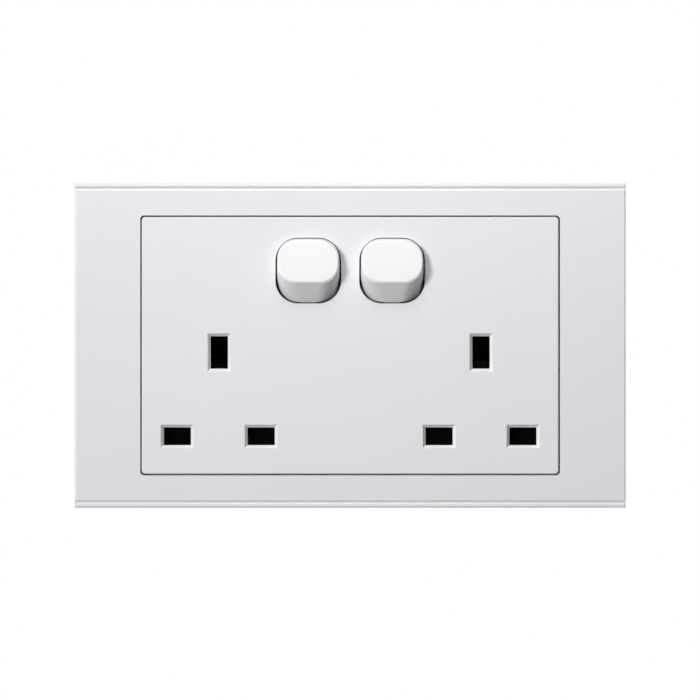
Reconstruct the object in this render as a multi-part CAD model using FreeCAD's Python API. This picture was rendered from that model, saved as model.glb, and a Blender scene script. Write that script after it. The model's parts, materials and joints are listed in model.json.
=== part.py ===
# UK twin switched socket outlet: clip-on frame, front panel, rockers, shutters, contacts and terminals
import FreeCAD
import Part
import math
import os

os.makedirs("parts", exist_ok=True)

# Axes: X right, Z up, Y into the wall. The wall plane is Y = 0 and the origin is the plate's centre.

# Pin slots and rockers on the front panel, in mm
socket_spacing = 69.4
pin_pitch = 22.23
earth_rise = 22.23
pin_slot_width = 7.2
pin_slot_height = 4.7
earth_slot_width = 4.6
earth_slot_height = 8.6
slot_bevel = 0.78
slot_bevel_depth = 0.8
slot_to_side_edge = 9.4
slot_to_bottom_edge = 9.95
rocker_to_earth = 21.7
rocker_to_top_edge = 14.2
rocker_spacing = 22.2
rocker_opening = 17.4
rocker_opening_corner = 6.0
rocker_lip = 0.3

# Front panel and outer frame
panel_thickness = 2.4
panel_corner = 1.0
panel_edge_bevel = 0.25
panel_gap = 0.38
skirt_wall = 1.6
border_side = 17.4
border_end = 8.58
frame_depth = 9.0
frame_skin = 2.2
frame_wall = 2.0
frame_edge_round = 0.5
collar_wall = 1.4
line_inset = 1.45
line_width = 1.0
line_depth = 0.45
nib_length = 8.0
nib_height = 1.2
nib_reach = 0.9
nib_spacing = 70.0
frame_rib = 1.2
frame_rib_spacing = 37.8

# Rockers
rocker_gap = 0.3
rocker_tilt = 15.0
rocker_pivot_depth = 5.8
rocker_face_width = 16.2
rocker_face_height = 11.4
rocker_face_corner = 4.8
rocker_shoulder_corner = 6.8
rocker_edge_bevel = 0.3
rocker_wall = 1.4
rocker_skirt_level = 0.5
pocket_corner_share = 0.6
trunnion_radius = 1.4
trunnion_length = 2.4
trunnion_clearance = 0.06
trunnion_wall = 0.8
cheek_half = 2.6
rocker_web = 1.2
ear_width = 2.2
ear_half_height = 3.0
ear_tail = 0.7
ear_throat = 2.4
boss_radius = 3.5
boss_reach = 4.0

# Plungers and their springs inside the rockers
plunger_radius = 2.2
plunger_clearance = 0.06
plunger_tip_radius = 0.8
plunger_length = 10.0
plunger_lift = 0.1
rocker_spring_wire = 0.5
rocker_spring_turns = 4
spring_clearance = 0.1

# Shutters behind the pin slots
shutter_thickness = 2.4
shutter_clearance = 0.3
shutter_travel = 6.5
shutter_overlap = 1.0
shutter_side_overlap = 0.8
shutter_margin = 0.9
ramp_bar = 1.6
ramp_toe = 0.3
rail_clearance = 0.6
stop_height = 1.6
stop_half = 2.0
spring_seat_half = 3.0
pin_clearance = 0.5
shutter_rail = 2.6
shutter_spring_radius = 1.2
shutter_spring_wire = 0.35
shutter_spring_length = 9.5
shutter_spring_turns = 5
guide_wall = 1.2
peg_half = 0.9
peg_end = 0.4
peg_clearance = 0.1
peg_seat_half = 1.6
peg_margin = 0.6
peg_inset = 5.4
peg_drop = 1.2
low_peg_drop = 0.9
retainer_thickness = 1.6

# Mounting plate
plate_thickness = 1.2
plate_clearance = 0.3
fold_height = 4.6
fixing_spacing = 120.6
fixing_slot_width = 4.2
fixing_slot_length = 7.0

# Rear housing and its screws
housing_depth = 23.0
housing_wall = 1.6
housing_floor = 1.8
housing_lap = 1.4
housing_corner = 1.5
housing_bevel = 1.0
column_half = 3.4
panel_boss_half = 2.8
boss_gap = 1.05
pilot_floor = 0.6
screw_to_side = 8.0
screw_to_top = 6.2
low_screw_spacing = 24.2
low_screw_rise = 4.0
screw_radius = 1.3
screw_head_radius = 2.5
screw_head_height = 1.8
screw_seat = 10.0
screw_clearance = 0.15
screw_tip_gap = 0.6
thread_clearance = 0.02
stake_half = 0.8
stake_clearance = 0.1
stake_head = 0.5
post_half = 1.3
guide_half = 3.0
guide_drop = 1.0
ledge_half = 1.6
ledge_wall = 1.6

# Brass contacts
strip = 0.8
strip_width = 4.0
feed_bar_width = 3.2
neutral_bar_width = 2.8
live_turn_drop = 9.8
neutral_bar_drop = 6.3
earth_strip_rise = 1.0
earth_pad_margin = 2.0
clip_mouth = 1.0
clip_base = 9.0
clip_grip = 3.5
clip_flare = 5.8
clip_width = 6.4
clip_grip_share = 0.4
earth_clip_mouth = 1.5
feed_level = 10.5
contact_bar_width = 5.0
contact_bar_thickness = 1.0
contact_bar_tilt = 10.0
contact_long_arm = 10.0
contact_short_arm = 5.0
contact_reach = 8.5
contact_radius = 1.2
contact_height = 0.7
contact_gap = 0.06
fulcrum_radius = 0.8
fulcrum_clearance = 0.05
cradle_clearance = 0.2

# Wire terminals
terminal_size = 9.0
wire_bore_radius = 2.3
wire_bore_wall = 1.3
terminal_inset = 2.5
terminal_screw_radius = 2.0
terminal_screw_length = 3.4
terminal_screw_recess = 0.3
screw_slot = 0.7
screwdriver_clearance = 0.6
wire_clearance = 0.8
mark_offset = 7.0
mark_half = 2.4
mark_depth = 0.4
terminal_to_top = 5.3
terminal_to_bottom = 4.65

# Straight steps that stand for a rocker's corner and a spring's turn, and the tolerance of seams
corner_steps = 8
turn_steps = 6
seam = 0.0001

# Places that follow from the sizes above
front = -frame_depth
panel_back = front + panel_thickness
panel_x = (socket_spacing + pin_pitch) / 2 + slot_to_side_edge
panel_z = (slot_to_bottom_edge + earth_rise + rocker_to_earth + rocker_to_top_edge) / 2
pins_z = slot_to_bottom_edge - panel_z
earth_z = pins_z + earth_rise
rocker_z = earth_z + rocker_to_earth
frame_x = panel_x + panel_gap + border_side
frame_z = panel_z + panel_gap + border_end
plate_x = frame_x - frame_wall - plate_clearance
plate_z = frame_z - frame_wall - plate_clearance
inner_x = panel_x - skirt_wall - housing_wall
inner_z = panel_z - housing_lap
floor_level = housing_depth - housing_floor
pivot_y = front + rocker_pivot_depth
shutter_front = panel_back + shutter_clearance
shutter_back = shutter_front + shutter_thickness
retainer_front = shutter_back + shutter_clearance
retainer_back = retainer_front + retainer_thickness
pad_x = pin_slot_width / 2 + shutter_side_overlap
pad_z = pin_slot_height / 2 + shutter_overlap
shutter_x = pin_pitch / 2 + pad_x
beam_low = pins_z + pad_z
beam_high = earth_z - earth_slot_height / 2 - slot_bevel - shutter_travel - shutter_margin
ramp_top = earth_z + earth_slot_height / 2 + ramp_bar
ramp_low = ramp_top - ramp_bar - shutter_travel
spring_seat_z = ramp_top + shutter_spring_length
guide_low = pins_z - pad_z - stop_height
rail_x = earth_slot_width / 2 + rail_clearance
fulcrum_y = clip_base - fulcrum_radius
terminal_x = socket_spacing / 2 - terminal_inset
terminal_z = inner_z - terminal_size / 2 - terminal_to_top
terminal_screw_tip = housing_depth - terminal_screw_recess - terminal_screw_length
bore_y = terminal_screw_tip - wire_bore_radius
terminal_front = bore_y - wire_bore_radius - wire_bore_wall
earth_level = terminal_front - strip
neutral_terminal_z = terminal_size / 2 + terminal_to_bottom - inner_z
screw_places = [
    (screw_to_side - panel_x, panel_z - screw_to_top),
    (panel_x - screw_to_side, panel_z - screw_to_top),
    (-low_screw_spacing / 2, pins_z + low_screw_rise),
    (low_screw_spacing / 2, pins_z + low_screw_rise),
]
boss_end = -boss_gap
screw_tip = panel_back + pilot_floor + screw_tip_gap

SIDES = {"left": -1, "right": 1}
RIGHT = FreeCAD.Vector(1, 0, 0)
INWARD = FreeCAD.Vector(0, 1, 0)
UP = FreeCAD.Vector(0, 0, 1)
ORIGIN = FreeCAD.Vector(0, 0, 0)


def at(x, y, z):
    return FreeCAD.Vector(x, y, z)


def box(x0, x1, y0, y1, z0, z1):
    return Part.makeBox(x1 - x0, y1 - y0, z1 - z0, at(x0, y0, z0))


def pillar(x, z, half, y0, y1):
    """A square bar along Y, centred on (x, z)."""
    return box(x - half, x + half, y0, y1, z - half, z + half)


def rod(radius, start, direction, length):
    return Part.makeCylinder(radius, length, start, direction)


def prism(points, travel):
    """A polygon of vectors pushed along a vector."""
    return Part.Face(Part.makePolygon(points + points[:1])).extrude(travel)


def side_profile(points, x0, x1):
    """A (y, z) outline pushed along X."""
    return prism([at(x0, y, z) for y, z in points], at(x1 - x0, 0, 0))


def front_profile(points, y0, y1):
    """An (x, z) outline pushed along Y."""
    return prism([at(x, y0, z) for x, z in points], at(0, y1 - y0, 0))


def rounded_outline(half_x, half_z, radius, y, x=0.0, z=0.0):
    """A rounded rectangle in the plane at depth y, centred on (x, z)."""
    edges = []
    flat_x = half_x - radius
    flat_z = half_z - radius
    for turn in range(4):
        angle = math.radians(90 * turn)
        right = turn in (0, 3)
        above = turn in (0, 1)
        centre = at(x + (flat_x if right else -flat_x), y, z + (flat_z if above else -flat_z))
        on_arc = [
            centre + at(radius * math.cos(angle + a), 0, radius * math.sin(angle + a))
            for a in (0, math.pi / 4, math.pi / 2)
        ]
        if edges:
            edges.append(Part.makeLine(edges[-1].Vertexes[-1].Point, on_arc[0]))
        edges.append(Part.Arc(*on_arc).toShape())
    edges.append(Part.makeLine(edges[-1].Vertexes[-1].Point, edges[0].Vertexes[0].Point))
    return Part.Wire(edges)


def stepped_outline(half_x, half_z, radius, y):
    """A rounded rectangle in the plane at depth y, its corners drawn in short straight steps."""
    points = []
    for turn, (i, j) in enumerate([(1, 1), (-1, 1), (-1, -1), (1, -1)]):
        centre = at(i * (half_x - radius), y, j * (half_z - radius))
        for step in range(corner_steps + 1):
            angle = math.radians(90 * (turn + step / corner_steps))
            points.append(centre + at(radius * math.cos(angle), 0, radius * math.sin(angle)))
    return Part.makePolygon(points + points[:1])


def slab(half_x, half_z, radius, y0, y1, x=0.0, z=0.0):
    return Part.Face(rounded_outline(half_x, half_z, radius, y0, x, z)).extrude(at(0, y1 - y0, 0))


def taper(outlines):
    """A solid whose sides run straight from one outline to the next, flat where both edges are straight."""
    low, high = outlines
    faces = [Part.Face(low), Part.Face(high)]
    for first, second in zip(low.OrderedEdges, high.OrderedEdges):
        if first.Curve.TypeId == "Part::GeomLine":
            ends = [first.Vertexes[0].Point, first.Vertexes[-1].Point]
            ends += [second.Vertexes[-1].Point, second.Vertexes[0].Point]
            faces.append(Part.Face(Part.makePolygon(ends + ends[:1])))
        else:
            faces.append(Part.makeRuledSurface(first, second))
    shell = Part.makeShell(faces)
    shell.sewShape()
    solid = Part.makeSolid(shell)
    solid.fix(seam, seam, seam)
    return solid


def rectangle(half_x, half_z, y, x, z):
    corners = [(-1, -1), (1, -1), (1, 1), (-1, 1), (-1, -1)]
    return Part.makePolygon([at(x + half_x * i, y, z + half_z * j) for i, j in corners])


def edges_at(shape, y):
    """The edges that lie wholly in the plane at depth y."""
    return [e for e in shape.Edges if abs(e.BoundBox.YMin - y) < seam and abs(e.BoundBox.YMax - y) < seam]


def joined(first, others):
    return first.multiFuse(others).removeSplitter()


def without(shape, tools):
    return shape.cut(tools)


def coil(radius, wire, length, turns, start, direction):
    """A compression spring of square wire in straight stretches, its ends inside the given length."""
    steps = turns * turn_steps
    middle = radius - wire / 2
    half = wire / 2
    sections = []
    for step in range(steps + 1):
        angle = 2 * math.pi * turns * step / steps
        rise = half + (length - wire) * step / steps
        outward = at(math.cos(angle), math.sin(angle), 0)
        corners = [(-half, -half), (half, -half), (half, half), (-half, half), (-half, -half)]
        sections.append(Part.makePolygon([outward * (middle + i) + at(0, 0, rise + j) for i, j in corners]))
    solid = Part.makeLoft(sections, True, True)
    solid.Placement = FreeCAD.Placement(start, FreeCAD.Rotation(UP, direction))
    return solid


def pin_slots(x):
    """Centre and half sizes of one outlet's neutral, live and earth slots."""
    return [
        (x - pin_pitch / 2, pins_z, pin_slot_width / 2, pin_slot_height / 2),
        (x + pin_pitch / 2, pins_z, pin_slot_width / 2, pin_slot_height / 2),
        (x, earth_z, earth_slot_width / 2, earth_slot_height / 2),
    ]


def outlet_x(side):
    return side * socket_spacing / 2


def rocker_x(side):
    return side * rocker_spacing / 2


def peg_places(x):
    """Where one shutter's retainer is held on the panel."""
    beside = shutter_x - peg_inset
    level = earth_z - peg_drop
    return [(x - beside, level), (x + beside, level), (x, pins_z - low_peg_drop)]


def slot_cutter(x, z, half_x, half_z):
    """A pin slot with a bevel all round its mouth."""
    mouth = rectangle(half_x + slot_bevel, half_z + slot_bevel, front, x, z)
    throat = rectangle(half_x, half_z, front + slot_bevel_depth, x, z)
    straight = box(x - half_x, x + half_x, front, panel_back, z - half_z, z + half_z)
    return taper([mouth, throat]).fuse(straight)


def rocker_cutter(x):
    """A rocker's opening, flared behind its lip to clear the tilting shoulders."""
    half = rocker_opening / 2
    lip_back = front + rocker_lip
    slope = rocker_pivot_depth / (half - rocker_gap)
    spread = half + (panel_back - lip_back) * slope
    lip = slab(half, half, rocker_opening_corner, front, lip_back, x, rocker_z)
    near = rounded_outline(half, half, rocker_opening_corner, lip_back, x, rocker_z)
    far = rounded_outline(half, spread, rocker_opening_corner, panel_back, x, rocker_z)
    return lip.fuse(taper([near, far]))


def bearing_ear(x0, x1):
    """A snap-in bearing for the rocker trunnions, open to the rear."""
    tail = pivot_y + trunnion_radius + ear_tail
    bore = trunnion_radius + trunnion_clearance
    block = box(x0, x1, panel_back, tail, rocker_z - ear_half_height, rocker_z + ear_half_height)
    hole = rod(bore, at(x0, pivot_y, rocker_z), RIGHT, x1 - x0)
    entry = box(x0, x1, pivot_y, tail, rocker_z - ear_throat / 2, rocker_z + ear_throat / 2)
    return without(block, [hole, entry])


def shutter_guides(x):
    """Guide walls, bottom stop, spring seat and retainer pegs of one outlet."""
    edge = shutter_x + shutter_clearance
    pieces = []
    for side in (-1, 1):
        near, far = sorted([x + side * edge, x + side * (edge + guide_wall)])
        pieces.append(box(near, far, panel_back, retainer_front, guide_low, beam_high))
        middle = x + side * pin_pitch / 2
        pieces.append(box(middle - stop_half, middle + stop_half, panel_back, retainer_front,
                          guide_low, pins_z - pad_z))
    pieces.append(box(x - spring_seat_half, x + spring_seat_half, panel_back, retainer_front,
                      spring_seat_z, spring_seat_z + guide_wall))
    for peg_x, peg_z in peg_places(x):
        pieces.append(pillar(peg_x, peg_z, peg_seat_half, panel_back, retainer_front))
        pieces.append(pillar(peg_x, peg_z, peg_half, retainer_front, retainer_back + peg_end))
    return pieces


def front_panel():
    face = slab(panel_x, panel_z, panel_corner, front, panel_back)
    face = face.makeChamfer(panel_edge_bevel, edges_at(face, front))
    skirt_end = -plate_thickness
    skirt = slab(panel_x, panel_z, panel_corner, panel_back, skirt_end)
    core_x = panel_x - skirt_wall
    core_z = panel_z - skirt_wall
    skirt = without(skirt, [box(-core_x, core_x, panel_back, skirt_end, -core_z, core_z)])
    pieces = [skirt]
    ear_start = rocker_spacing / 2 + rocker_opening / 2
    ear_in = rocker_spacing / 2 - rocker_opening / 2
    pieces.append(bearing_ear(-ear_in, ear_in))
    pieces.append(bearing_ear(ear_start, ear_start + ear_width))
    pieces.append(bearing_ear(-ear_start - ear_width, -ear_start))
    for side in SIDES.values():
        pieces += shutter_guides(outlet_x(side))
    for x, z in screw_places:
        pieces.append(pillar(x, z, panel_boss_half, panel_back, boss_end))
    cutters = []
    for side in SIDES.values():
        cutters += [slot_cutter(*slot) for slot in pin_slots(outlet_x(side))]
        cutters.append(rocker_cutter(rocker_x(side)))
    for x, z in screw_places:
        cutters.append(rod(screw_radius, at(x, boss_end, z), -INWARD, boss_end - panel_back - pilot_floor))
    return without(joined(face, pieces), cutters)


def outer_frame():
    opening_x = panel_x + panel_gap
    opening_z = panel_z + panel_gap
    body = box(-frame_x, frame_x, front, 0, -frame_z, frame_z)
    body = body.makeFillet(frame_edge_round, edges_at(body, front))
    skin_back = front + frame_skin
    hollow = box(frame_wall - frame_x, frame_x - frame_wall, skin_back, 0,
                 frame_wall - frame_z, frame_z - frame_wall)
    collar_end = -plate_thickness - plate_clearance
    collar = slab(opening_x + collar_wall, opening_z + collar_wall, panel_corner, skin_back, collar_end)
    pieces = [collar]
    rib_start = opening_x + collar_wall / 2
    for side in (-1, 1):
        for z in (-frame_rib_spacing / 2, frame_rib_spacing / 2):
            near, far = sorted([side * rib_start, side * (frame_x - frame_wall / 2)])
            pieces.append(box(near, far, skin_back, collar_end, z - frame_rib / 2, z + frame_rib / 2))
    nib_low = -fold_height / 2 - nib_height / 2
    wall_face = frame_z - frame_wall
    for x in (-nib_spacing / 2, nib_spacing / 2):
        for side in (-1, 1):
            outline = [
                (nib_low, side * wall_face),
                (nib_low, side * (wall_face - nib_reach)),
                (nib_low + nib_height / 2, side * (wall_face - nib_reach)),
                (nib_low + nib_height, side * wall_face),
            ]
            pieces.append(side_profile(outline, x - nib_length / 2, x + nib_length / 2))
    body = joined(without(body, [hollow]), pieces)
    cutters = [slab(opening_x, opening_z, panel_corner, front, collar_end)]
    for side in (-1, 1):
        middle = side * (frame_z - line_inset)
        groove = [
            (front, middle - line_width / 2),
            (front + line_depth, middle),
            (front, middle + line_width / 2),
        ]
        cutters.append(side_profile(groove, -frame_x, frame_x))
    return without(body, cutters)


def mounting_plate():
    plate = box(-plate_x, plate_x, -plate_thickness, 0, -plate_z, plate_z)
    folds = []
    for side in (-1, 1):
        low, high = sorted([side * plate_z, side * (plate_z - plate_thickness)])
        end = plate_x - border_side / 2
        folds.append(box(-end, end, -fold_height, -plate_thickness, low, high))
    body = joined(plate, folds)
    cutters = [box(-inner_x, inner_x, -plate_thickness, 0, -inner_z, inner_z)]
    slot_flat = (fixing_slot_length - fixing_slot_width) / 2
    slot_half = fixing_slot_width / 2
    for side in (-1, 1):
        x = side * fixing_spacing / 2
        ends = [rod(slot_half, at(x + i * slot_flat, -plate_thickness, 0), INWARD, plate_thickness)
                for i in (-1, 1)]
        middle = box(x - slot_flat, x + slot_flat, -plate_thickness, 0, -slot_half, slot_half)
        cutters.append(ends[0].multiFuse([ends[1], middle]).removeSplitter())
    catch = nib_height / 2 + plate_clearance
    reach = nib_length / 2 + plate_clearance
    for x in (-nib_spacing / 2, nib_spacing / 2):
        middle = -fold_height / 2
        cutters.append(box(x - reach, x + reach, middle - catch, middle + catch, -plate_z, plate_z))
    return without(body, cutters)


# A rocker in its own frame, pivot on the X axis and front towards -Y
lip_half = rocker_opening / 2 - rocker_gap
lean = math.radians(rocker_tilt)
shoulder_half = lip_half * math.cos(lean) + rocker_pivot_depth * math.sin(lean)
shoulder_out = rocker_pivot_depth * math.cos(lean) - lip_half * math.sin(lean)
flank = lip_half / rocker_pivot_depth
face_out = shoulder_out + (shoulder_half - rocker_face_height / 2) * flank
ceiling_out = face_out - rocker_wall


def rocker_half_height(out):
    """Half height of the rocker's flanks at a distance in front of the pivot."""
    return rocker_face_height / 2 + (face_out - out) / flank


def rocker_half_width(out):
    share = (face_out - out) / (face_out - shoulder_out)
    return rocker_face_width / 2 + (lip_half - rocker_face_width / 2) * share


def rocker_section(out, inset):
    """The rocker's outline at a distance in front of the pivot, drawn in where its edge is bevelled."""
    share = (face_out - out) / (face_out - shoulder_out)
    corner = rocker_face_corner + (rocker_shoulder_corner - rocker_face_corner) * share - inset
    tall = rocker_half_height(out) - inset * math.hypot(1, 1 / flank)
    return stepped_outline(rocker_half_width(out) - inset, tall, corner, -out)


def rocker_pocket(out):
    """The hollow's outline at a distance in front of the pivot, with its corners cut off."""
    wide = rocker_half_width(out) - rocker_wall
    tall = rocker_half_height(out) - rocker_wall * math.hypot(1, 1 / flank)
    cut = rocker_face_corner * pocket_corner_share
    corners = [(wide, tall - cut), (wide - cut, tall)]
    corners += [(-x, z) for x, z in reversed(corners)]
    corners += [(-x, -z) for x, z in corners]
    return Part.makePolygon([at(x, -out, z) for x, z in corners + corners[:1]])


def tilted(shape, side):
    """Puts a rocker piece at rest: top pressed in, switched off."""
    shape.rotate(ORIGIN, RIGHT, -rocker_tilt)
    shape.translate(at(rocker_x(side), pivot_y, rocker_z))
    return shape


def rocker(side):
    edge_out = face_out - rocker_edge_bevel
    edge = rocker_section(edge_out, 0)
    body = taper([rocker_section(shoulder_out, 0), edge])
    body = joined(body, [taper([edge, rocker_section(face_out, rocker_edge_bevel)])])
    skirt = Part.Face(rocker_section(shoulder_out, 0)).extrude(at(0, shoulder_out - rocker_skirt_level, 0))
    pocket = taper([rocker_pocket(ceiling_out), rocker_pocket(shoulder_out)])
    lower = Part.Face(rocker_pocket(shoulder_out)).extrude(at(0, shoulder_out - rocker_skirt_level, 0))
    shell = without(joined(body, [skirt]), [pocket, lower])
    cheek_low = trunnion_radius + trunnion_wall
    pieces = []
    for end in (-1, 1):
        near, far = sorted([end * (lip_half - rocker_wall), end * lip_half])
        pieces.append(box(near, far, -shoulder_out, cheek_low, -cheek_half, cheek_half))
        pieces.append(rod(trunnion_radius, at(end * (lip_half - rocker_wall), 0, 0), RIGHT * end,
                          rocker_wall + trunnion_length))
    root = rocker_wall / 2 - face_out
    pieces.append(rod(boss_radius, at(0, root, 0), INWARD, boss_reach - root))
    web = lip_half - rocker_wall / 2
    pieces.append(box(-web, web, root, -rocker_skirt_level, -rocker_web / 2, rocker_web / 2))
    bore = rod(plunger_radius + plunger_clearance, at(0, -ceiling_out + rocker_wall, 0), INWARD,
               ceiling_out - rocker_wall + boss_reach)
    return tilted(without(joined(shell, pieces), [bore]), side)


# The plunger's tip clears the contact bar by a little as the rocker passes mid travel
bar_front = fulcrum_y - fulcrum_radius - contact_bar_thickness
tip_reach = bar_front - plunger_lift - pivot_y
plunger_top = tip_reach - plunger_length


def plunger(side):
    neck = tip_reach - plunger_radius
    outline = [
        at(0, plunger_top, 0),
        at(plunger_radius, plunger_top, 0),
        at(plunger_radius, neck, 0),
        at(plunger_tip_radius, tip_reach, 0),
        at(0, tip_reach, 0),
        at(0, plunger_top, 0),
    ]
    return tilted(Part.Face(Part.makePolygon(outline)).revolve(ORIGIN, INWARD, 360), side)


def rocker_spring(side):
    start = -ceiling_out + rocker_wall
    spring = coil(plunger_radius - spring_clearance, rocker_spring_wire, plunger_top - start,
                  rocker_spring_turns, at(0, start, 0), INWARD)
    return tilted(spring, side)


def shutter(side):
    x = outlet_x(side)
    wide = rail_x + shutter_rail
    outline = [
        (x - shutter_x, pins_z - pad_z),
        (x - shutter_x + 2 * pad_x, pins_z - pad_z),
        (x - shutter_x + 2 * pad_x, beam_low),
        (x + shutter_x - 2 * pad_x, beam_low),
        (x + shutter_x - 2 * pad_x, pins_z - pad_z),
        (x + shutter_x, pins_z - pad_z),
        (x + shutter_x, beam_high),
        (x + wide, beam_high),
        (x + wide, ramp_top),
        (x - wide, ramp_top),
        (x - wide, beam_high),
        (x - shutter_x, beam_high),
    ]
    plate = front_profile(outline, shutter_front, shutter_back)
    window = box(x - rail_x, x + rail_x, shutter_front, shutter_back, beam_high, ramp_top - ramp_bar)
    slope_end = shutter_front + shutter_travel
    ramp = [
        (shutter_front, ramp_top - ramp_bar),
        (shutter_front, ramp_top),
        (slope_end + ramp_toe, ramp_top),
        (slope_end + ramp_toe, ramp_low),
        (slope_end, ramp_low),
    ]
    return joined(without(plate, [window]), [side_profile(ramp, x - rail_x, x + rail_x)])


def shutter_spring(side):
    middle = (panel_back + retainer_front) / 2
    start = at(outlet_x(side), middle, ramp_top)
    return coil(shutter_spring_radius, shutter_spring_wire, shutter_spring_length, shutter_spring_turns,
                start, UP)


def shutter_retainer(side):
    x = outlet_x(side)
    wide = shutter_x + shutter_clearance + guide_wall
    middle = shutter_x - peg_inset + peg_seat_half + peg_margin
    slim = rail_x + shutter_rail
    step = earth_z - peg_drop + peg_seat_half + peg_margin
    top = spring_seat_z + guide_wall
    outline = [
        (x - wide, guide_low), (x + wide, guide_low), (x + wide, beam_high), (x + middle, beam_high),
        (x + middle, step), (x + slim, step), (x + slim, top), (x - slim, top),
        (x - slim, step), (x - middle, step), (x - middle, beam_high), (x - wide, beam_high),
    ]
    plate = front_profile(outline, retainer_front, retainer_back)
    cutters = []
    for slot_x, slot_z, half_x, half_z in pin_slots(x)[:2]:
        wide_x = half_x + pin_clearance
        wide_z = half_z + pin_clearance
        cutters.append(box(slot_x - wide_x, slot_x + wide_x, retainer_front, retainer_back,
                           slot_z - wide_z, slot_z + wide_z))
    rail = rail_x + shutter_clearance
    low = earth_z - earth_slot_height / 2 - pin_clearance
    high = ramp_top + shutter_travel + shutter_clearance
    cutters.append(box(x - rail, x + rail, retainer_front, retainer_back, low, high))
    for peg_x, peg_z in peg_places(x):
        cutters.append(pillar(peg_x, peg_z, peg_half + peg_clearance, retainer_front, retainer_back))
    return without(plate, cutters)


# Stakes hold the brass strips on their posts: (x, z) places by strip
strip_back = clip_base + strip
live_turn_z = rocker_z - live_turn_drop
neutral_bar_z = pins_z - neutral_bar_drop
feed_z = rocker_z + contact_reach
earth_strip_z = earth_z + earth_slot_height / 2 + earth_strip_rise


def live_x(side):
    return outlet_x(side) + pin_pitch / 2


def neutral_x(side):
    return outlet_x(side) - pin_pitch / 2


def live_stakes(side):
    low = (live_x(side), (pins_z + live_turn_z) / 2 - strip_width / 2)
    return [low, ((live_x(side) + rocker_x(side)) / 2, live_turn_z)]


neutral_stakes = [(x, neutral_bar_z) for x in (neutral_x(-1), -terminal_x / 2, terminal_x / 2)]
earth_stakes = [(0, earth_strip_z), (-terminal_x, (earth_strip_z + terminal_z) / 2)]
feed_stakes = [(0, feed_z), (rocker_spacing / 4 + terminal_x / 2, feed_z)]


def staked(shape, places, level):
    """Drills a strip where its stakes pass through."""
    return without(shape, [pillar(x, z, stake_half + stake_clearance, level, level + strip)
                           for x, z in places])


def pin_clip(x):
    """Spring leaves above and below a flat pin, on a base behind it."""
    grip_y = clip_mouth + clip_grip_share * (clip_base - clip_mouth)
    upper = [(clip_mouth, clip_flare / 2), (grip_y, clip_grip / 2), (clip_base, clip_flare / 2)]
    outline = [(y, pins_z + z) for y, z in upper]
    outline += [(y, pins_z - z) for y, z in reversed(upper)]
    outer = [(strip_back, clip_flare / 2 + strip), (grip_y, clip_grip / 2 + strip),
             (clip_mouth, clip_flare / 2 + strip)]
    outline += [(y, pins_z - z) for y, z in reversed(outer)]
    outline += [(y, pins_z + z) for y, z in outer]
    return side_profile(outline, x - clip_width / 2, x + clip_width / 2)


def live_contact(side):
    x = live_x(side)
    pivot_x = rocker_x(side)
    half = strip_width / 2
    cradle = contact_bar_width / 2 + cradle_clearance
    outer = cradle + strip
    near, far = sorted([pivot_x - outer, x + half]) if x > pivot_x else sorted([x - half, pivot_x + outer])
    pieces = [
        box(x - half, x + half, clip_base, strip_back, pins_z + clip_flare / 2, live_turn_z + half),
        box(near, far, clip_base, strip_back, live_turn_z - half, live_turn_z + half),
        box(pivot_x - outer, pivot_x + outer, clip_base, strip_back, live_turn_z, rocker_z + half),
        rod(fulcrum_radius, at(pivot_x - cradle, fulcrum_y, rocker_z), RIGHT, 2 * cradle),
        box(pivot_x - cradle, pivot_x + cradle, fulcrum_y, clip_base, rocker_z - fulcrum_radius,
            rocker_z + fulcrum_radius),
    ]
    for end in (-1, 1):
        low, high = sorted([pivot_x + end * cradle, pivot_x + end * outer])
        pieces.append(box(low, high, bar_front, clip_base, rocker_z - half, rocker_z + half))
    return staked(joined(pin_clip(x), pieces), live_stakes(side), clip_base)


def contact_bar(side):
    bar_back = -fulcrum_radius
    half = contact_bar_width / 2
    plate = box(-half, half, bar_back - contact_bar_thickness, bar_back, -contact_short_arm, contact_long_arm)
    saddle = rod(fulcrum_radius + fulcrum_clearance, at(-half, 0, 0), RIGHT, 2 * half)
    return rocked(without(plate, [saddle]), side)


def rocked(shape, side):
    """Puts a contact piece at rest, its contact end held open."""
    shape.rotate(ORIGIN, RIGHT, contact_bar_tilt)
    shape.translate(at(rocker_x(side), fulcrum_y, rocker_z))
    return shape


def moving_contact(side):
    return rocked(rod(contact_radius, at(0, -fulcrum_radius, contact_reach), INWARD, contact_height), side)


def closed_contact_y():
    """How far back the moving contact's edge comes when it closes."""
    swing = math.radians(contact_bar_tilt)
    tip = contact_height - fulcrum_radius
    return fulcrum_y + tip * math.cos(swing) + (contact_reach + contact_radius) * math.sin(swing)


def fixed_contact(side):
    start = closed_contact_y() + contact_gap
    return rod(contact_radius, at(rocker_x(side), start, feed_z), INWARD, feed_level - start)


def live_feed_bar():
    half = feed_bar_width / 2
    step_x = terminal_x - terminal_size / 2 - strip
    low = -rocker_spacing / 2 - strip_width / 2
    tab = terminal_size / 2
    pieces = [
        box(step_x, step_x + strip, feed_level, earth_level + strip, feed_z - half, feed_z + half),
        box(step_x, terminal_x + tab, earth_level, earth_level + strip, feed_z - half, feed_z + half),
        box(terminal_x - tab, terminal_x + tab, earth_level, earth_level + strip,
            terminal_z - tab, feed_z + half),
    ]
    body = box(low, step_x + strip, feed_level, feed_level + strip, feed_z - half, feed_z + half)
    return staked(joined(body, pieces), feed_stakes, feed_level)


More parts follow.
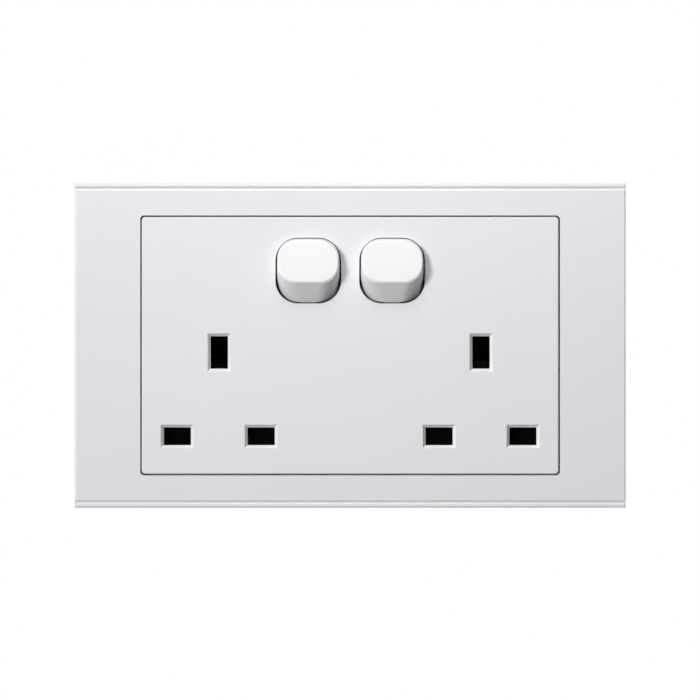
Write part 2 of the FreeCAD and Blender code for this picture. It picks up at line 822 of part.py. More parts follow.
def neutral_bar():
    half = neutral_bar_width / 2
    reach = clip_width / 2
    tab = terminal_size / 2
    top = neutral_terminal_z + tab
    ledge = neutral_bar_z + half
    pieces = [pin_clip(neutral_x(1))]
    for side in SIDES.values():
        x = neutral_x(side)
        pieces.append(box(x - reach, x + reach, clip_base, strip_back, neutral_bar_z - half,
                          pins_z - clip_flare / 2))
    pieces.append(box(neutral_x(-1) - reach, neutral_x(1) + reach, clip_base, strip_back,
                      neutral_bar_z - half, ledge))
    pieces.append(box(-tab, tab, clip_base, earth_level + strip, ledge - strip, ledge))
    pieces.append(box(-tab, tab, earth_level, earth_level + strip, ledge - strip, top))
    return staked(joined(pin_clip(neutral_x(-1)), pieces), neutral_stakes, clip_base)


def earth_bar():
    half = strip_width / 2
    pad = clip_flare / 2 + strip + earth_pad_margin
    back = earth_level + strip
    tab = terminal_size / 2
    pads = []
    leaves = []
    windows = []
    grip_y = earth_clip_mouth + clip_grip_share * (earth_level - earth_clip_mouth)
    leaf_z = earth_slot_height / 2
    for side in SIDES.values():
        x = outlet_x(side)
        pads.append(box(x - pad, x + pad, earth_level, back,
                        earth_z - leaf_z - earth_pad_margin, earth_strip_z + half))
        windows.append(box(x - clip_flare / 2, x + clip_flare / 2, earth_level, back,
                           earth_z - leaf_z, earth_z + leaf_z))
        for end in (-1, 1):
            inner = [(clip_flare / 2, earth_clip_mouth), (clip_grip / 2, grip_y)]
            inner += [(clip_flare / 2, earth_level), (clip_flare / 2, back)]
            outline = [(x + end * dx, y) for dx, y in inner]
            outline += [(x + end * (dx + strip), y) for dx, y in reversed(inner)]
            leaf = prism([at(px, py, earth_z - leaf_z) for px, py in outline], at(0, 0, 2 * leaf_z))
            leaves.append(leaf)
    pads.append(box(-terminal_x - half, -terminal_x + half, earth_level, back, earth_strip_z, terminal_z))
    pads.append(box(-terminal_x - tab, -terminal_x + tab, earth_level, back,
                    terminal_z - tab, terminal_z + tab))
    bar = box(-socket_spacing / 2, socket_spacing / 2, earth_level, back,
              earth_strip_z - half, earth_strip_z + half)
    bar = without(joined(bar, pads), windows)
    return staked(joined(bar, leaves), earth_stakes, earth_level)


terminals = {
    "live": (terminal_x, terminal_z),
    "earth": (-terminal_x, terminal_z),
    "neutral": (0, neutral_terminal_z),
}


def terminal(name):
    x, z = terminals[name]
    tab = terminal_size / 2
    block = box(x - tab, x + tab, terminal_front, floor_level, z - tab, z + tab)
    bore = rod(wire_bore_radius, at(x, bore_y, z - tab), UP, terminal_size)
    thread = rod(terminal_screw_radius, at(x, bore_y, z), INWARD, floor_level - bore_y)
    return without(block, [bore, thread])


def terminal_screw(name):
    x, z = terminals[name]
    tip = terminal_screw_tip
    end = tip + terminal_screw_length
    shank = rod(terminal_screw_radius - thread_clearance, at(x, tip, z), INWARD, terminal_screw_length)
    slot = box(x - terminal_screw_radius, x + terminal_screw_radius, end - screw_slot, end,
               z - screw_slot / 2, z + screw_slot / 2)
    return without(shank, [slot])


def post(x, z, half_x, half_z, level):
    """A post on the housing floor that carries a strip at its back."""
    return box(x - half_x, x + half_x, level, floor_level, z - half_z, z + half_z)


def rear_housing():
    outer_x = inner_x + housing_wall
    outer_z = inner_z + housing_wall
    body = slab(outer_x, outer_z, housing_corner, 0, housing_depth)
    body = body.makeChamfer(housing_bevel, edges_at(body, housing_depth))
    body = without(body, [box(-inner_x, inner_x, 0, floor_level, -inner_z, inner_z)])
    pieces = []
    stakes = []
    for x, z in screw_places:
        pieces.append(pillar(x, z, column_half, 0, floor_level))
    for side in SIDES.values():
        stakes += [(x, z, strip_back) for x, z in live_stakes(side)]
        pieces.append(post(rocker_x(side), rocker_z, contact_bar_width / 2, fulcrum_radius, strip_back))
        pieces.append(post(live_x(side), pins_z, clip_width / 4, clip_flare / 2, strip_back))
        pieces.append(post(neutral_x(side), pins_z, clip_width / 4, clip_flare / 2, strip_back))
        ledge = clip_flare / 2 + strip + earth_pad_margin / 2
        for end in (-1, 1):
            pieces.append(post(outlet_x(side) + end * ledge, earth_z - earth_slot_height / 2,
                               ledge_wall / 2, ledge_half, earth_level + strip))
    stakes += [(x, z, strip_back) for x, z in neutral_stakes]
    stakes += [(x, z, earth_level + strip) for x, z in earth_stakes]
    stakes += [(x, z, feed_level + strip) for x, z in feed_stakes]
    for x, z, level in stakes:
        pieces.append(pillar(x, z, post_half, level, floor_level))
        pieces.append(pillar(x, z, stake_half, level - strip - stake_head, level))
    cheek = terminal_size / 2 + peg_clearance
    for x, z in terminals.values():
        for end in (-1, 1):
            near, far = sorted([x + end * cheek, x + end * (cheek + housing_wall)])
            pieces.append(box(near, far, terminal_front + guide_drop, floor_level,
                              z - guide_half, z + guide_half))
    cutters = []
    for x, z in screw_places:
        hole = screw_radius + screw_clearance
        cutters.append(rod(hole, at(x, 0, z), INWARD, screw_seat))
        cutters.append(rod(screw_head_radius + screw_clearance, at(x, screw_seat, z), INWARD,
                           housing_depth - screw_seat))
    for x, z in terminals.values():
        cutters.append(rod(terminal_screw_radius + screwdriver_clearance, at(x, floor_level, z), INWARD,
                           housing_floor))
        mark_x = x + mark_offset
        cutters.append(box(mark_x - mark_half, mark_x + mark_half, housing_depth - mark_depth, housing_depth,
                           z - mark_half, z + mark_half))
        wall = at(x, bore_y, inner_z if z > 0 else -outer_z)
        cutters.append(rod(wire_bore_radius + wire_clearance, wall, UP, housing_wall))
    return without(joined(body, pieces), cutters)


def housing_screws():
    screws = []
    for x, z in screw_places:
        shank = rod(screw_radius - thread_clearance, at(x, screw_seat, z), -INWARD, screw_seat - screw_tip)
        head = rod(screw_head_radius, at(x, screw_seat, z), INWARD, screw_head_height)
        screws.append(joined(head, [shank]))
    return Part.makeCompound(screws)


def save(name, shape):
    shape.exportStep("parts/" + name + ".step")


save("outer_frame", outer_frame())
save("front_panel", front_panel())
save("mounting_plate", mounting_plate())
save("rear_housing", rear_housing())
save("housing_screws", housing_screws())
save("live_feed_bar", live_feed_bar())
save("neutral_bar", neutral_bar())
save("earth_bar", earth_bar())
for name in terminals:
    save(name + "_terminal", terminal(name))
    save(name + "_terminal_screw", terminal_screw(name))
for name, side in SIDES.items():
    save("rocker_" + name, rocker(side))
    save("rocker_plunger_" + name, plunger(side))
    save("rocker_spring_" + name, rocker_spring(side))
    save("contact_bar_" + name, contact_bar(side))
    save("moving_contact_" + name, moving_contact(side))
    save("fixed_contact_" + name, fixed_contact(side))
    save("live_contact_" + name, live_contact(side))
    save("shutter_" + name, shutter(side))
    save("shutter_spring_" + name, shutter_spring(side))
    save("shutter_retainer_" + name, shutter_retainer(side))
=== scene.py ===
import json
import math

import bmesh
import bpy
from mathutils import Matrix, Vector


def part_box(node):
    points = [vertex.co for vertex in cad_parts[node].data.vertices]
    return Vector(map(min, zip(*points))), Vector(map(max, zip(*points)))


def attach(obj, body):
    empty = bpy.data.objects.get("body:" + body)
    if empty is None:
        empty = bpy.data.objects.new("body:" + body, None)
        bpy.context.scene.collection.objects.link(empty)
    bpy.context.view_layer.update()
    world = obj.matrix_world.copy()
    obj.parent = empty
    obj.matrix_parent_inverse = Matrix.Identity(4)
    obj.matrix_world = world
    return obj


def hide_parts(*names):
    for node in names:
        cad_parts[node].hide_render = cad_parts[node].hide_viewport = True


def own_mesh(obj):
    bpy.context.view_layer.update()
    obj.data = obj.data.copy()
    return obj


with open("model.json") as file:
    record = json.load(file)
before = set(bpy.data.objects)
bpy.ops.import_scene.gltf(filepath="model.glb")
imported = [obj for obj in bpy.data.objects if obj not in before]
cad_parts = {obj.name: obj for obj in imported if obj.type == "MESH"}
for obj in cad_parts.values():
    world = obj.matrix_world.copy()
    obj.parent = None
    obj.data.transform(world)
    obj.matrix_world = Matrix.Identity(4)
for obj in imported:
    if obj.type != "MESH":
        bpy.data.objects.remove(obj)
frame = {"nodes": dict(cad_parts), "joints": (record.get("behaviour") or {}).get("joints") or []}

# Lengths are in metres; x is to the right, y is away from the camera and z is up
scene = bpy.context.scene
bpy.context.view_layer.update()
nodes = frame["nodes"]
joints = {joint["name"]: joint for joint in frame["joints"]}
SIDES = ("left", "right")
RIGHTWARDS = Vector((1, 0, 0))
UPWARDS = Vector((0, 0, 1))
WHITE = (1, 1, 1, 1)

# Camera: straight on, the plate's face fills 551 of the picture's 700 pixels
PICTURE_WIDTH = 0.1854
PICTURE_CENTRE = (-0.00005, -0.0012)
CAMERA_DISTANCE = 1.0
FRONT = -0.009
SENSOR_MM = 36.0

# Soft lamps, each facing the middle of the part
LAMPS = {
    "left_lamp": {"direction": (-0.62, -0.775, 0.16), "distance": 3.4, "size": 1.1, "irradiance": 2.48},
    "top_lamp": {"direction": (-0.02, -0.582, 0.81), "distance": 0.27, "size": 0.15, "irradiance": 1.37},
    "back_lamp": {"direction": (0.45, 0.75, 0.5), "distance": 0.9, "size": 0.6, "irradiance": 1.6},
    "side_lamp": {"direction": (0.75, 0.3, -0.6), "distance": 1.2, "size": 0.9, "irradiance": 2.4},
}

# Room: its light from below and from above, and its strength where it is seen or mirrored
ROOM_BELOW = 0.03
ROOM_ABOVE = 0.06
ROOM_SEEN = 1.0

# Floor: its place, where it begins and ends to fade out, and its paint
FLOOR_DROP = 0.25
FLOOR_HALF = 1.1
FLOOR_FADE = (0.14, 0.42)
FLOOR_COLOUR = (0.8, 0.8, 0.8, 1)
FLOOR_ROUGHNESS = 0.9
FLOOR_GLOW = 0.35

# Noise: its roughness, its two levels of detail, and the spans of its values that are used
NOISE_ROUGHNESS = 0.55
COARSE = 2.0
FINE = 4.0
NARROW_SPAN = (0.35, 0.65)
WIDE_SPAN = (0.2, 0.8)

# Moulded plastic: scales of its flow, speckle and gloss, the share of speckle, and the swing of roughness
FLOW_SCALE = 38
SPECKLE_SCALE = 2600
GLOSS_SCALE = 120
SPECKLE_SHARE = 0.35
GLOSS_SWING = 0.03

# Painted shade in the rockers' seams: its reach, the shares of open sky where it is full and none, and its
# colour
SEAM_REACH = 0.0014
SEAM_RANGE = (0.2, 0.55)
SEAM_SHADE_COLOUR = (0.02, 0.02, 0.022)

# Metal: scale of its plating, the share of rolling lines, and how far roughness goes down and up
PLATING_SCALE = 160
ROLLING_SHARE = 0.4
SHINE_DOWN = 0.07
SHINE_UP = 0.1
ROLLED = (0.2, 1, 5)
EVEN = (1, 1, 1)

# Edges: weld distance, angles above which they stay sharp and are rounded, flatness, and size of the rounds
WELD = 0.000001
SHARP_LIMIT = math.radians(28)
EDGE_LIMIT = math.radians(35)
FLAT_LIMIT = math.radians(0.5)
ROUND_SEGMENTS = 2
EDGE_ROUNDS = {
    "outer_frame": 0.00005,
    "rocker_left": 0.00015,
    "rocker_right": 0.00015,
    "rear_housing": 0.0002,
}

# Terminal marks: distance from the screw, depth of the pocket, rise from its floor, and size of the signs
MARK_OFFSET = 0.007
MARK_POCKET = 0.0004
MARK_RISE = 0.0003
MARK_WIDTH = 0.0021
MARK_HEIGHT = 0.0036
STROKE = 0.0006
WIDE_LETTER = 1.2
LETTER_SLANT = 1.25
THIN_STROKE = 0.8
EARTH_STEM = 0.0013
EARTH_BARS = (1.0, 0.62, 0.26)

# Screw caps: radius, rise, edge round and steps of the rim, and the arms of the cross recess
CAP_RADIUS = 0.0024
CAP_RISE = 0.0011
CAP_ROUND = 0.0001
CAP_STEPS = 40
RECESS_REACH = 0.00145
RECESS_HALF = 0.0004
QUARTER_TURNS = ((1, 0), (0, 1), (-1, 0), (0, -1))

# Springs: wire diameter and number of turns, the turns that lie closed at each end, and mesh steps
SPRINGS = {
    "shutter": {"wire": 0.00035, "turns": 5},
    "rocker": {"wire": 0.0005, "turns": 4},
}
CLOSED_TURN = 0.8
TURN_STEPS = 28
WIRE_STEPS = 10


def node_tree(name):
    """A new material, with its nodes and its main shader."""
    material = bpy.data.materials.new(name)
    material.use_nodes = True
    tree = material.node_tree
    return material, tree, tree.nodes["Principled BSDF"]


def add(tree, kind, **values):
    """A new node with the given settings and input values."""
    node = tree.nodes.new(kind)
    for key, value in values.items():
        if hasattr(node, key):
            setattr(node, key, value)
        else:
            node.inputs[key.replace("_", " ")].default_value = value
    return node


def object_space(tree, stretch=EVEN):
    """Texture coordinates fixed to the object, stretched along its axes."""
    coordinates = add(tree, "ShaderNodeTexCoord")
    mapping = add(tree, "ShaderNodeMapping", Scale=stretch)
    tree.links.new(coordinates.outputs["Object"], mapping.inputs["Vector"])
    return mapping.outputs["Vector"]


def noise(tree, where, scale, detail):
    """Cloudy noise with values around a half."""
    node = add(tree, "ShaderNodeTexNoise", Scale=scale, Detail=detail, Roughness=NOISE_ROUGHNESS)
    tree.links.new(where, node.inputs["Vector"])
    return node.outputs["Fac"]


def spread(tree, value, low, high, span=NARROW_SPAN):
    """Maps a span of the value to low and high, and holds it there beyond the span."""
    start, end = span
    node = add(tree, "ShaderNodeMapRange", From_Min=start, From_Max=end, To_Min=low, To_Max=high)
    tree.links.new(value, node.inputs["Value"])
    return node.outputs["Result"]


def blended(tree, share, first, second):
    """Mixes two colours, each a tuple or another node's output, by the share of the second."""
    node = add(tree, "ShaderNodeMix", data_type="RGBA")
    tree.links.new(share, node.inputs["Factor"])
    for socket, colour in (("A", first), ("B", second)):
        target = [s for s in node.inputs if s.name == socket and s.type == "RGBA"][0]
        if isinstance(colour, tuple):
            target.default_value = (*colour, 1.0)
        else:
            tree.links.new(colour, target)
    return [s for s in node.outputs if s.type == "RGBA"][0]


def bumped(tree, shader, height, depth):
    """Gives the shader a bump of the given depth."""
    bump = add(tree, "ShaderNodeBump", Distance=depth)
    tree.links.new(height, bump.inputs["Height"])
    tree.links.new(bump.outputs["Normal"], shader.inputs["Normal"])


def moulded(name, colour, shade, roughness, grain, depth, specular=0.5, seam_shade=None):
    """Moulded plastic: slow flow clouds, fine speckle, uneven gloss, a fine tool texture, and painted shade
    in seams where given.
    """
    material, tree, shader = node_tree(name)
    where = object_space(tree)
    clouds = spread(tree, noise(tree, where, FLOW_SCALE, COARSE), 0.0, 1.0, WIDE_SPAN)
    speckle = spread(tree, noise(tree, where, SPECKLE_SCALE, COARSE), 0.0, SPECKLE_SHARE)
    tone = blended(tree, clouds, colour, shade)
    tone = blended(tree, speckle, tone, shade)
    if seam_shade:
        # Painted shade: the colour darkens where ambient occlusion finds other surfaces close by
        open_sky = add(tree, "ShaderNodeAmbientOcclusion", Distance=SEAM_REACH)
        unshaded = spread(tree, open_sky.outputs["AO"], 0.0, 1.0, SEAM_RANGE)
        tone = blended(tree, unshaded, seam_shade, tone)
    tree.links.new(tone, shader.inputs["Base Color"])
    gloss = noise(tree, where, GLOSS_SCALE, FINE)
    gloss = spread(tree, gloss, roughness - GLOSS_SWING, roughness + GLOSS_SWING, WIDE_SPAN)
    tree.links.new(gloss, shader.inputs["Roughness"])
    shader.inputs["Specular IOR Level"].default_value = specular
    bumped(tree, shader, noise(tree, where, grain, COARSE), depth)
    return material


def metal(name, colour, shade, roughness, grain, depth, stretch=EVEN):
    """Rolled or plated metal: drawn-out rolling lines, cloudy plating and uneven shine."""
    material, tree, shader = node_tree(name)
    clouds = spread(tree, noise(tree, object_space(tree), PLATING_SCALE, FINE), 0.0, 1.0)
    drawn = noise(tree, object_space(tree, stretch), grain, FINE)
    tone = blended(tree, clouds, colour, shade)
    tone = blended(tree, spread(tree, drawn, 0.0, ROLLING_SHARE), tone, shade)
    tree.links.new(tone, shader.inputs["Base Color"])
    gloss = spread(tree, drawn, roughness - SHINE_DOWN, roughness + SHINE_UP)
    tree.links.new(gloss, shader.inputs["Roughness"])
    shader.inputs["Metallic"].default_value = 1.0
    bumped(tree, shader, drawn, depth)
    return material


# Materials: a colour and the shade it drifts to, with the scale and depth of the grain
white = moulded("white_moulding", (0.838, 0.835, 0.868), (0.818, 0.815, 0.848),
                roughness=0.36, grain=2400, depth=0.000004)
panel_white = moulded("panel_white", (0.853, 0.848, 0.88), (0.833, 0.828, 0.86),
                      roughness=0.36, grain=2400, depth=0.000004)
# The rockers get painted shade in their seams and gaps
rocker_white = moulded("rocker_white", (0.852, 0.842, 0.866), (0.845, 0.835, 0.859),
                       roughness=0.3, grain=2400, depth=0.000003, seam_shade=SEAM_SHADE_COLOUR)
black = moulded("shutter_black", (0.0012, 0.0012, 0.0014), (0.002, 0.002, 0.0022),
                roughness=0.8, grain=1800, depth=0.00001, specular=0.01)
housing_grey = moulded("housing_moulding", (0.74, 0.735, 0.72), (0.69, 0.685, 0.67),
                       roughness=0.45, grain=1500, depth=0.00001)
natural = moulded("natural_nylon", (0.62, 0.6, 0.54), (0.56, 0.54, 0.48),
                  roughness=0.4, grain=1500, depth=0.000008)
zinc = metal("zinc_steel", (0.63, 0.64, 0.655), (0.55, 0.56, 0.58),
             roughness=0.34, grain=420, depth=0.000003, stretch=ROLLED)
brass = metal("rolled_brass", (0.83, 0.62, 0.27), (0.74, 0.53, 0.21),
              roughness=0.27, grain=900, depth=0.000002, stretch=ROLLED)
silver = metal("silver_contact", (0.87, 0.86, 0.84), (0.74, 0.72, 0.69),
               roughness=0.22, grain=2500, depth=0.000002)
spring_steel = metal("spring_steel", (0.48, 0.48, 0.5), (0.36, 0.36, 0.39),
                     roughness=0.26, grain=4000, depth=0.000002)
passivated = metal("passivated_screw", (0.72, 0.64, 0.44), (0.66, 0.6, 0.47),
                   roughness=0.28, grain=6000, depth=0.000001)

# The finish of each CAD node
finishes = {
    "outer_frame": white,
    "front_panel": panel_white,
    "mounting_plate": zinc,
    "rear_housing": housing_grey,
    "housing_screws": passivated,
    "live_feed_bar": brass,
    "neutral_bar": brass,
    "earth_bar": brass,
}
for pole in ("live", "neutral", "earth"):
    finishes[pole + "_terminal"] = brass
    finishes[pole + "_terminal_screw"] = passivated
for side in SIDES:
    finishes["rocker_" + side] = rocker_white
    finishes["rocker_plunger_" + side] = natural
    finishes["rocker_spring_" + side] = spring_steel
    finishes["contact_bar_" + side] = brass
    finishes["moving_contact_" + side] = silver
    finishes["fixed_contact_" + side] = silver
    finishes["live_contact_" + side] = brass
    finishes["shutter_" + side] = black
    finishes["shutter_spring_" + side] = spring_steel
    finishes["shutter_retainer_" + side] = natural
for name, material in finishes.items():
    nodes[name].data.materials.clear()
    nodes[name].data.materials.append(material)


def smoothing_group(limit):
    """Welds a piece's mesh, shades it smooth, and keeps edges sharper than the limit."""
    group = bpy.data.node_groups.new("smooth_by_angle", "GeometryNodeTree")
    group.interface.new_socket("Geometry", in_out="INPUT", socket_type="NodeSocketGeometry")
    group.interface.new_socket("Geometry", in_out="OUTPUT", socket_type="NodeSocketGeometry")
    start = add(group, "NodeGroupInput")
    end = add(group, "NodeGroupOutput")
    weld = add(group, "GeometryNodeMergeByDistance", Distance=WELD)
    plain = add(group, "GeometryNodeRemoveAttribute", Name="custom_normal")
    faces = add(group, "GeometryNodeSetShadeSmooth", domain="FACE", Shade_Smooth=True)
    edges = add(group, "GeometryNodeSetShadeSmooth", domain="EDGE", Shade_Smooth=False)
    angle = add(group, "GeometryNodeInputMeshEdgeAngle")
    sharp = add(group, "FunctionNodeCompare", data_type="FLOAT", operation="GREATER_THAN")
    sharp.inputs["B"].default_value = limit
    group.links.new(angle.outputs["Unsigned Angle"], sharp.inputs["A"])
    group.links.new(sharp.outputs["Result"], edges.inputs["Selection"])
    chain = [start, weld, plain, faces, edges, end]
    for before, after in zip(chain, chain[1:]):
        target = after.inputs["Geometry"] if "Geometry" in after.inputs else after.inputs[0]
        group.links.new(before.outputs["Geometry"], target)
    return group


def soften(piece, group, width):
    """Smooth shading on curved faces and, where a width is given, a small round on the sharp edges."""
    smooth = piece.modifiers.new("smooth", "NODES")
    smooth.node_group = group
    if width:
        flat = piece.modifiers.new("flat_panels", "DECIMATE")
        flat.decimate_type = "DISSOLVE"
        flat.angle_limit = FLAT_LIMIT
        bevel = piece.modifiers.new("edge_round", "BEVEL")
        bevel.width = width
        bevel.segments = ROUND_SEGMENTS
        bevel.limit_method = "ANGLE"
        bevel.angle_limit = EDGE_LIMIT
        bevel.use_clamp_overlap = True
        bevel.harden_normals = True
    weighted = piece.modifiers.new("flat_faces", "WEIGHTED_NORMAL")
    weighted.keep_sharp = True


# Shading and edge rounds of the CAD nodes
smooth_shading = smoothing_group(SHARP_LIMIT)
for name, piece in nodes.items():
    soften(piece, smooth_shading, EDGE_ROUNDS.get(name, 0.0))


def new_piece(name, mesh, body, material):
    """A piece of the scene's own that rides on a CAD body."""
    piece = bpy.data.objects.new(name, mesh)
    scene.collection.objects.link(piece)
    mesh.materials.append(material)
    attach(piece, body)
    return piece


def finished(shape, name):
    """The mesh of a shape, with its faces turned outwards."""
    bmesh.ops.recalc_face_normals(shape, faces=shape.faces)
    mesh = bpy.data.meshes.new(name)
    shape.to_mesh(mesh)
    shape.free()
    return mesh


def filled(loops):
    """A flat face bounded by loops of (x, y) points; inner loops are holes."""
    shape = bmesh.new()
    edges = []
    for loop in loops:
        corners = [shape.verts.new((x, y, 0)) for x, y in loop]
        edges += [shape.edges.new(pair) for pair in zip(corners, corners[1:] + corners[:1])]
    bmesh.ops.triangle_fill(shape, edges=edges, use_beauty=True, normal=UPWARDS)
    return shape


def raised(name, loops, height, onto):
    """A moulded or pressed shape of the given height, on the face that the matrix onto sets."""
    shape = filled(loops)
    bmesh.ops.recalc_face_normals(shape, faces=shape.faces)
    grown = bmesh.ops.extrude_face_region(shape, geom=shape.faces[:])
    lifted = [v for v in grown["geom"] if isinstance(v, bmesh.types.BMVert)]
    bmesh.ops.translate(shape, verts=lifted, vec=(0, 0, height))
    bmesh.ops.transform(shape, matrix=onto, verts=shape.verts)
    return finished(shape, name)


def ring(radius, steps):
    """Points of a circle, anticlockwise."""
    turns = [2 * math.pi * i / steps for i in range(steps)]
    return [(radius * math.cos(a), radius * math.sin(a)) for a in turns]


def cross(reach, half):
    """A plus-shaped outline, anticlockwise."""
    quarter = [(reach, -half), (reach, half), (half, half)]
    points = []
    for c, s in QUARTER_TURNS:
        points += [(x * c - y * s, x * s + y * c) for x, y in quarter]
    return points


def facing_back(x, y, z):
    """Places a drawing on a rear face, read from behind."""
    return Matrix(((-1, 0, 0, x), (0, 0, 1, y), (0, 1, 0, z), (0, 0, 0, 1)))


def middle_and_half(spots, direction):
    """The middle of the spots along a direction, and half of their span."""
    values = [spot.dot(direction) for spot in spots]
    return (max(values) + min(values)) / 2, (max(values) - min(values)) / 2


def letter(kind, width, height, stroke):
    """Outline of a plain block L or N, centred."""
    w = width / 2
    h = height / 2
    s = stroke
    if kind == "L":
        return [[(-w, -h), (w, -h), (w, -h + s), (-w + s, -h + s), (-w + s, h), (-w, h)]]
    lean = LETTER_SLANT * s
    return [[(-w, -h), (-w + s, -h), (-w + s, h - lean - s), (w - s, -h), (w, -h),
             (w, h), (w - s, h), (w - s, -h + lean + s), (-w + s, h), (-w, h)]]


def earth_sign(width, height, stroke):
    """Outlines of the earth sign: a stem on the first of three bars, each shorter than the last."""
    half = stroke / 2
    top = height / 2
    gap = (height - EARTH_STEM - len(EARTH_BARS) * stroke) / (len(EARTH_BARS) - 1)
    loops = []
    level = top - EARTH_STEM
    for share in EARTH_BARS:
        reach = width / 2 * share
        bar = [(-reach, level - stroke), (reach, level - stroke), (reach, level)]
        if not loops:
            bar += [(half, level), (half, top), (-half, top), (-half, level)]
        loops.append(bar + [(-reach, level)])
        level -= stroke + gap
    return loops


# Terminal marks, raised in their pockets on the back beside the terminal screws
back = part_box("rear_housing")[1].y
signs = {
    "live": letter("L", MARK_WIDTH, MARK_HEIGHT, STROKE),
    "neutral": letter("N", MARK_WIDTH * WIDE_LETTER, MARK_HEIGHT, STROKE),
    "earth": earth_sign(MARK_HEIGHT, MARK_HEIGHT, STROKE * THIN_STROKE),
}
for pole, loops in signs.items():
    low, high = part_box(pole + "_terminal_screw")
    middle = (low + high) / 2
    onto = facing_back(middle.x + MARK_OFFSET, back - MARK_POCKET, middle.z)
    mesh = raised("mark_" + pole, loops, MARK_RISE, onto)
    new_piece("mark_" + pole, mesh, "base", black)

# Screw caps: a pressed cap with a plus-shaped recess on the head of each housing screw
head_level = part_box("housing_screws")[1].y
heads = {}
for vertex in nodes["housing_screws"].data.vertices:
    spot = vertex.co
    if head_level - spot.y < WELD:
        side = "left" if spot.x < 0 else "right"
        level = "low" if spot.z < 0 else "high"
        heads.setdefault((side, level), []).append(spot)
for (side, level), spots in sorted(heads.items()):
    x, _ = middle_and_half(spots, RIGHTWARDS)
    z, _ = middle_and_half(spots, UPWARDS)
    name = f"screw_cap_{level}_{side}"
    outlines = [ring(CAP_RADIUS, CAP_STEPS), cross(RECESS_REACH, RECESS_HALF)]
    mesh = raised(name, outlines, CAP_RISE, facing_back(x, head_level, z))
    cap = new_piece(name, mesh, "base", passivated)
    soften(cap, smooth_shading, CAP_ROUND)


def coil(name, length, radius, wire, turns):
    """A spring of round wire along z, from 0 to length, whose first and last turns lie closed."""
    open_turns = turns - 2 * CLOSED_TURN
    climb = (length - wire - 2 * CLOSED_TURN * wire) / open_turns
    outline = ring(wire / 2, WIRE_STEPS)
    shape = bmesh.new()
    rings = []
    for step in range(turns * TURN_STEPS + 1):
        turn = step / TURN_STEPS
        angle = 2 * math.pi * turn
        opened = min(max(turn - CLOSED_TURN, 0.0), open_turns)
        slope = climb if 0.0 < opened < open_turns else wire
        rise = wire / 2 + climb * opened + wire * (turn - opened)
        outward = Vector((math.cos(angle), math.sin(angle), 0))
        spot = outward * radius + Vector((0, 0, rise))
        along = Vector((-math.sin(angle), math.cos(angle), slope / (2 * math.pi * radius))).normalized()
        across = along.cross(outward)
        rings.append([shape.verts.new(spot + outward * x + across * y) for x, y in outline])
    for first, second in zip(rings, rings[1:]):
        for i in range(WIRE_STEPS):
            j = (i + 1) % WIRE_STEPS
            shape.faces.new((first[i], first[j], second[j], second[i]))
    shape.faces.new(rings[0])
    shape.faces.new(rings[-1])
    mesh = finished(shape, name)
    mesh.shade_smooth()
    return mesh


# Round-wire springs in place of the CAD springs; each shutter spring gets a mesh of its own
for side in SIDES:
    pushed = {
        "shutter": ("base", joints[f"shutter_{side}_slide"]),
        "rocker": ("switch_" + side, joints[f"plunger_{side}_slide"]),
    }
    for kind, (body, joint) in pushed.items():
        wire = SPRINGS[kind]["wire"]
        turns = SPRINGS[kind]["turns"]
        node = f"{kind}_spring_{side}"
        name = f"{kind}_coil_{side}"
        axis = Vector(joint["axis"]).normalized()
        upright = axis.cross(RIGHTWARDS)
        spots = [vertex.co.copy() for vertex in nodes[node].data.vertices]
        x, radius = middle_and_half(spots, RIGHTWARDS)
        y, _ = middle_and_half(spots, upright)
        z, half = middle_and_half(spots, axis)
        start = RIGHTWARDS * x + upright * y + axis * (z - half)
        mesh = coil(name, 2 * half, radius - wire / 2, wire, turns)
        turned = UPWARDS.rotation_difference(axis).to_matrix().to_4x4()
        mesh.transform(Matrix.Translation(start) @ turned)
        piece = new_piece(name, mesh, body, spring_steel)
        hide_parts(node)
        if kind == "shutter":
            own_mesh(piece)


def area_light(name, direction, distance, size, irradiance):
    """A round soft lamp that faces the middle of the part and lights it by the given irradiance."""
    data = bpy.data.lights.new(name, "AREA")
    data.shape = "DISK"
    data.size = size
    data.energy = irradiance * math.pi * distance ** 2
    light = bpy.data.objects.new(name, data)
    scene.collection.objects.link(light)
    light.location = Vector(direction).normalized() * distance
    light.rotation_mode = "QUATERNION"
    light.rotation_quaternion = (-light.location).to_track_quat("-Z", "Y")


# Lamps
for name, lamp in LAMPS.items():
    area_light(name, **lamp)

# The room is white where it is seen or mirrored, and gives an even, weaker light
world = bpy.data.worlds.new("room")
world.use_nodes = True
scene.world = world
room = world.node_tree
background = room.nodes["Background"]
background.inputs["Color"].default_value = WHITE
rays = add(room, "ShaderNodeLightPath")
mirrored = add(room, "ShaderNodeMath", operation="ADD")
shown = add(room, "ShaderNodeMath", operation="ADD", use_clamp=True)
room.links.new(rays.outputs["Is Glossy Ray"], mirrored.inputs[0])
room.links.new(rays.outputs["Is Transmission Ray"], mirrored.inputs[1])
room.links.new(mirrored.outputs[0], shown.inputs[0])
room.links.new(rays.outputs["Is Camera Ray"], shown.inputs[1])
sky = add(room, "ShaderNodeTexCoord")
height = add(room, "ShaderNodeSeparateXYZ")
room.links.new(sky.outputs["Generated"], height.inputs["Vector"])
even = add(room, "ShaderNodeMapRange", From_Min=-1.0, From_Max=1.0, To_Min=ROOM_BELOW, To_Max=ROOM_ABOVE)
room.links.new(height.outputs["Z"], even.inputs["Value"])
strength = add(room, "ShaderNodeMapRange", To_Max=ROOM_SEEN)
room.links.new(shown.outputs[0], strength.inputs["Value"])
room.links.new(even.outputs["Result"], strength.inputs["To Min"])
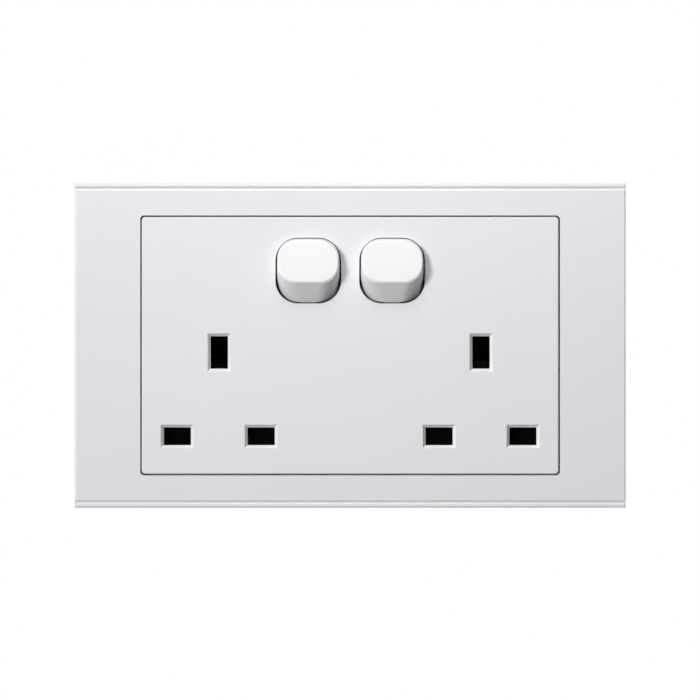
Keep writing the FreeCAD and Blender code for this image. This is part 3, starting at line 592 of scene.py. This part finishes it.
room.links.new(strength.outputs["Result"], background.inputs["Strength"])

# A pale floor below the camera's view, which fades out away from the part and doesn't light it
floor_mesh = bpy.data.meshes.new("floor")
corners = [(-1, -1), (1, -1), (1, 1), (-1, 1)]
floor_points = [(x * FLOOR_HALF, y * FLOOR_HALF, -FLOOR_DROP) for x, y in corners]
floor_mesh.from_pydata(floor_points, [], [(0, 1, 2, 3)])
floor = bpy.data.objects.new("floor", floor_mesh)
scene.collection.objects.link(floor)
floor_paint, tree, shader = node_tree("floor_paint")
shader.inputs["Base Color"].default_value = FLOOR_COLOUR
shader.inputs["Roughness"].default_value = FLOOR_ROUGHNESS
shader.inputs["Emission Color"].default_value = WHITE
rays = add(tree, "ShaderNodeLightPath")
glow = add(tree, "ShaderNodeMapRange", To_Min=0.0, To_Max=FLOOR_GLOW)
tree.links.new(rays.outputs["Is Camera Ray"], glow.inputs["Value"])
tree.links.new(glow.outputs["Result"], shader.inputs["Emission Strength"])
reach = add(tree, "ShaderNodeVectorMath", operation="LENGTH")
tree.links.new(object_space(tree), reach.inputs[0])
fade = spread(tree, reach.outputs["Value"], 0.0, 1.0, FLOOR_FADE)
clear = add(tree, "ShaderNodeBsdfTransparent")
mixed = add(tree, "ShaderNodeMixShader")
tree.links.new(fade, mixed.inputs[0])
tree.links.new(shader.outputs["BSDF"], mixed.inputs[1])
tree.links.new(clear.outputs["BSDF"], mixed.inputs[2])
tree.links.new(mixed.outputs["Shader"], tree.nodes["Material Output"].inputs["Surface"])
floor_mesh.materials.append(floor_paint)
floor.visible_diffuse = False

# Camera, straight on
camera_data = bpy.data.cameras.new("camera")
camera_data.sensor_width = SENSOR_MM
camera_data.lens = SENSOR_MM * CAMERA_DISTANCE / PICTURE_WIDTH
camera = bpy.data.objects.new("camera", camera_data)
scene.collection.objects.link(camera)
camera.location = (PICTURE_CENTRE[0], FRONT - CAMERA_DISTANCE, PICTURE_CENTRE[1])
camera.rotation_euler = (math.pi / 2, 0, 0)
scene.camera = camera

scene.view_settings.view_transform = "Standard"
